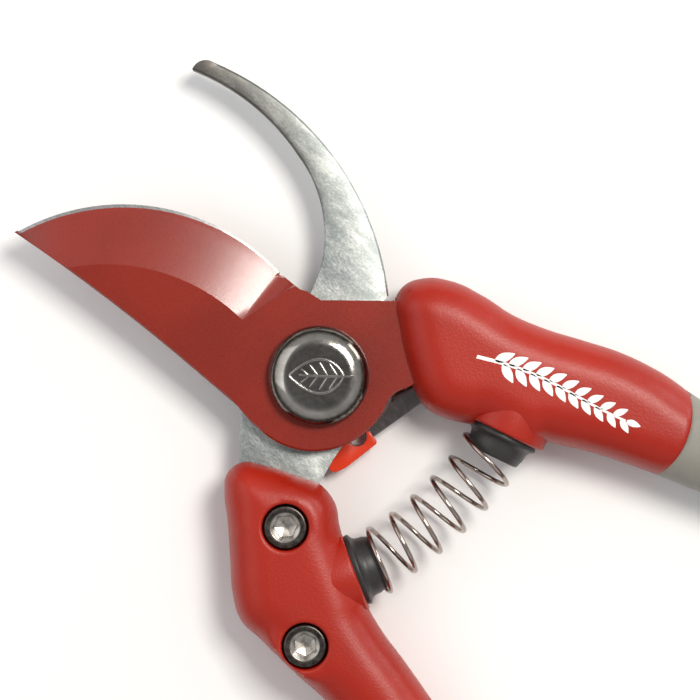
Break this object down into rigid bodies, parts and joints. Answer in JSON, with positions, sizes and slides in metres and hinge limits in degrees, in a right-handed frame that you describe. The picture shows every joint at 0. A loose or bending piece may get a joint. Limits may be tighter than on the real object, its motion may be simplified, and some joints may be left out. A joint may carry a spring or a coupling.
{
  "type": "pruning shears",
  "caption": "Bypass hand pruner with a coated cutting blade, a curved steel counter blade, a domed pivot bolt, an opening spring, covered handles with soft grips and a thumb lock.",
  "frame": {"origin": "on the pivot axis, in the plane that the shears lie on, at the end face of the pivot nut", "axes": "+Z along the pivot towards the bolt head, +X towards the blade tips, +Y towards the counter blade's handle"},
  "size_m": [0.2, 0.129, 0.018],
  "materials": {
    "blade_coat": "satin red coating with a ground steel edge",
    "hook_steel": "ground, faintly mottled",
    "bolt_chrome": "polished",
    "dark_screw": "dark, burnished",
    "plain_steel": "zinc plated",
    "spring_wire": "nickel plated wire",
    "cover_red": "fine satin grain",
    "grip_grey": "matt elastomer",
    "seat_black": "matt black",
    "core_metal": "as cast",
    "bush_bronze": "sintered bronze",
    "thumb_orange": "smooth",
    "lever_steel": "polished"
  },
  "bodies": {
    "blade_side": {"cutting_blade": "blade_coat", "blade_handle_core": "core_metal", "blade_handle_cover": "cover_red", "blade_grip_sleeve": "grip_grey", "blade_handle_screws": "dark_screw", "blade_handle_inserts": "bush_bronze", "blade_spring_seat": "seat_black", "lock_lever_pin": "plain_steel", "lock_lever_washers": "bush_bronze", "pivot_bolt": "bolt_chrome", "pivot_nut": "plain_steel", "pivot_washer": "bush_bronze", "spring_washer": "plain_steel", "opening_spring": "spring_wire"},
    "hook_side": {"counter_blade": "hook_steel", "hook_handle_core": "core_metal", "hook_handle_cover": "cover_red", "hook_grip_sleeve": "grip_grey", "hook_handle_screws": "dark_screw", "hook_handle_nuts": "plain_steel", "hook_spring_seat": "seat_black", "pivot_bush": "bush_bronze", "lock_stud": "plain_steel"},
    "lock": {"lock_lever": "lever_steel", "lock_thumb_pad": "thumb_orange"}
  },
  "joints": [
    {"name": "blade_pivot", "type": "hinge", "parent": "blade_side", "child": "hook_side", "pos_m": [0, 0, 0.00725], "axis": [0, 0, 1], "range_deg": [0, 42], "stiffness_Nm_per_rad": 0.6, "springref_deg": -34.38, "deforming": ["opening_spring"]},
    {"name": "lock_turn", "type": "hinge", "parent": "blade_side", "child": "lock", "pos_m": [-0.02, -0.014, 0.0034], "axis": [0, 0, -1], "range_deg": [0, 12]}
  ]
}
